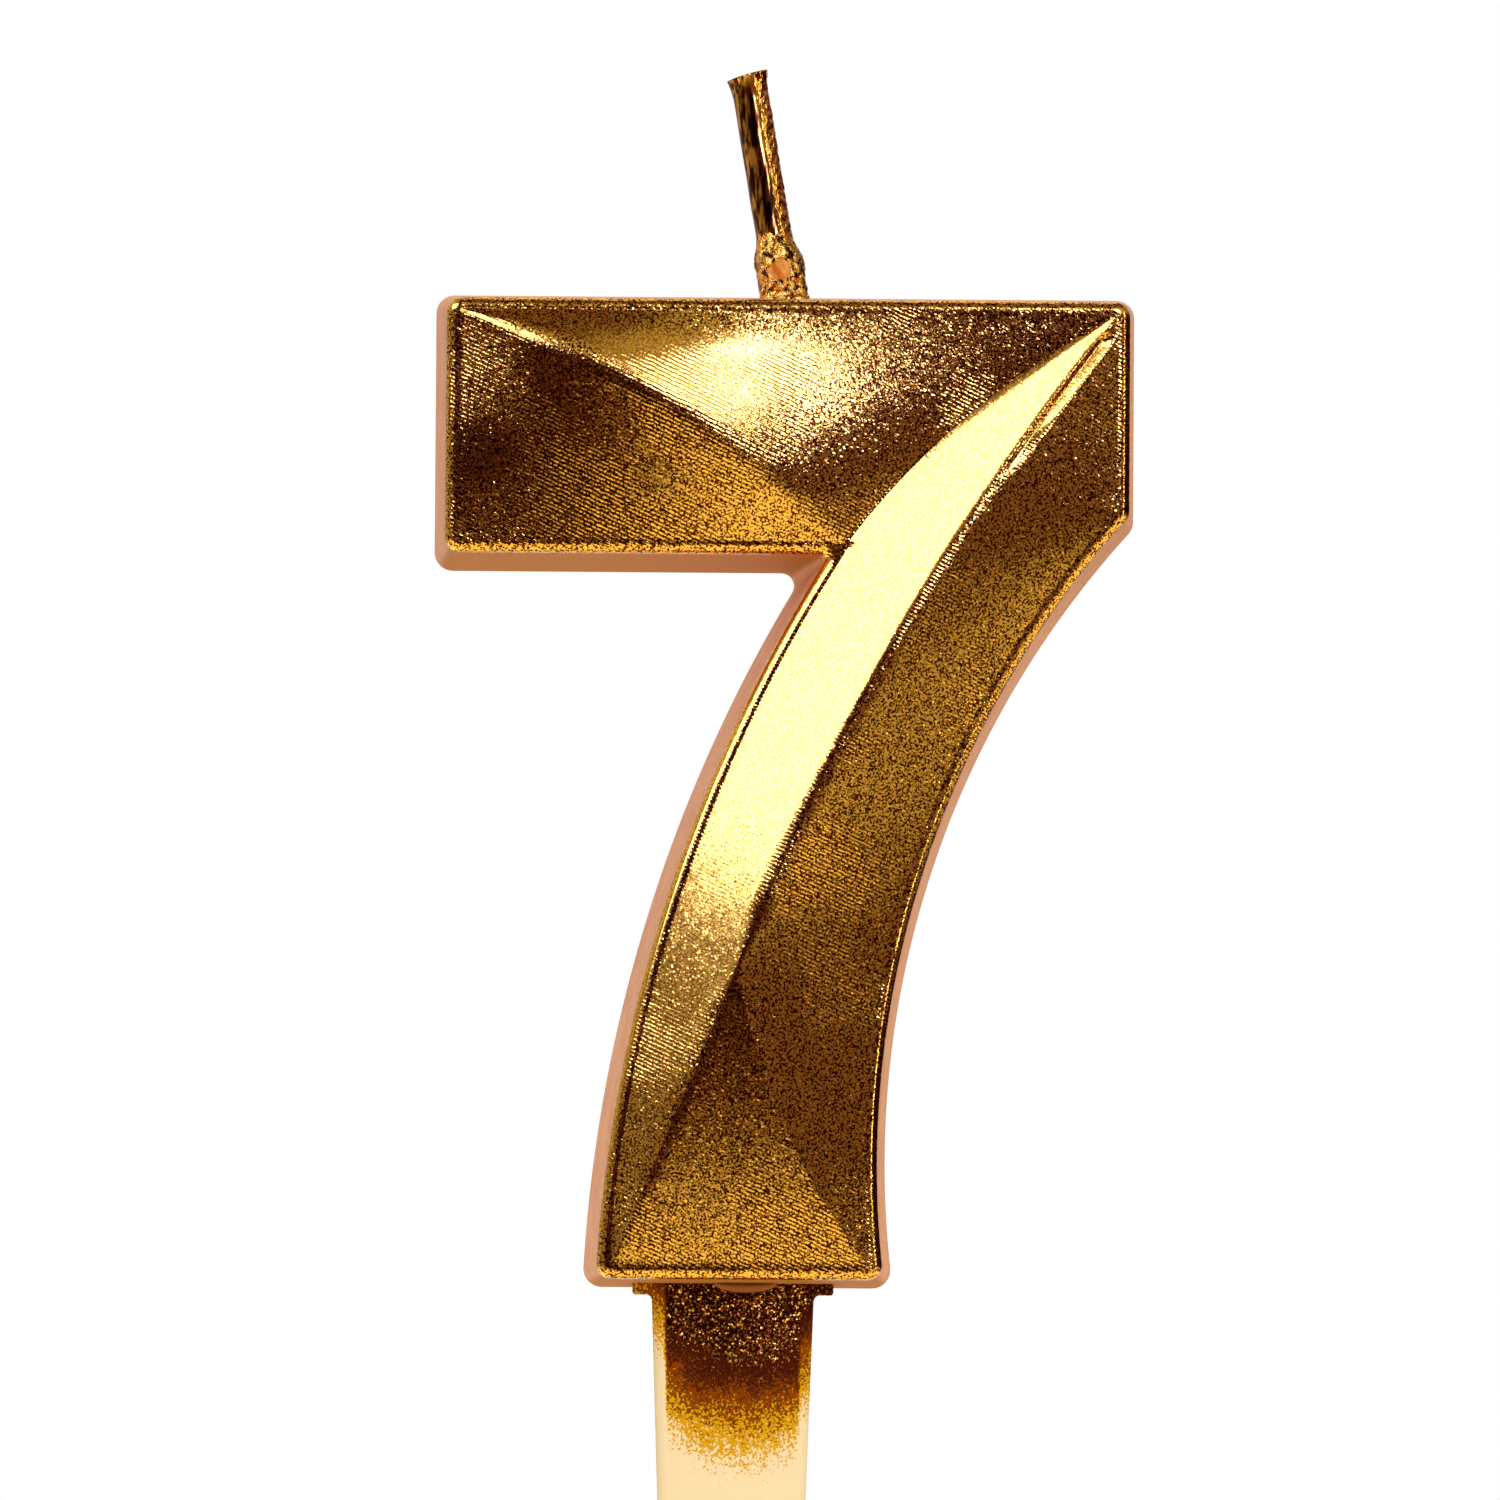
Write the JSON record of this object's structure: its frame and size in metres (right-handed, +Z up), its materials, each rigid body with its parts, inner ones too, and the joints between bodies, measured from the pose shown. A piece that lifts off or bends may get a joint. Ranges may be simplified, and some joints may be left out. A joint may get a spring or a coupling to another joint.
{
  "type": "number candle",
  "caption": "Faceted figure seven of gilded wax with a waxed wick at the top and a flat plastic pick below, to stand in a cake.",
  "frame": {"origin": "on the pick's centreline and mid-plane, at the underside of its shoulder, where the top of the cake comes", "axes": "+X to the reader's right, +Y from the reader into the candle, +Z up along the pick towards the wick"},
  "size_m": [0.0495, 0.0124, 0.131],
  "materials": {
    "gilded_wax": "metallic gold coat on cast wax, satin front with a fine grain, thin and pinkish tan on the drafted sides",
    "gilded_wick": "glossy gold coat on dipped wax, streaked along the wick",
    "wick_cotton": "plain cotton cord",
    "pick_plastic": "moulded cream plastic, speckled gold near the candle",
    "seal_wax": "poured wax"
  },
  "bodies": {
    "root": {"wax_numeral": "gilded_wax", "wick_core": "wick_cotton", "wick_jacket": "gilded_wick", "wick_collar": "gilded_wick", "pick": "pick_plastic", "pick_seal": "seal_wax"}
  },
  "joints": []
}
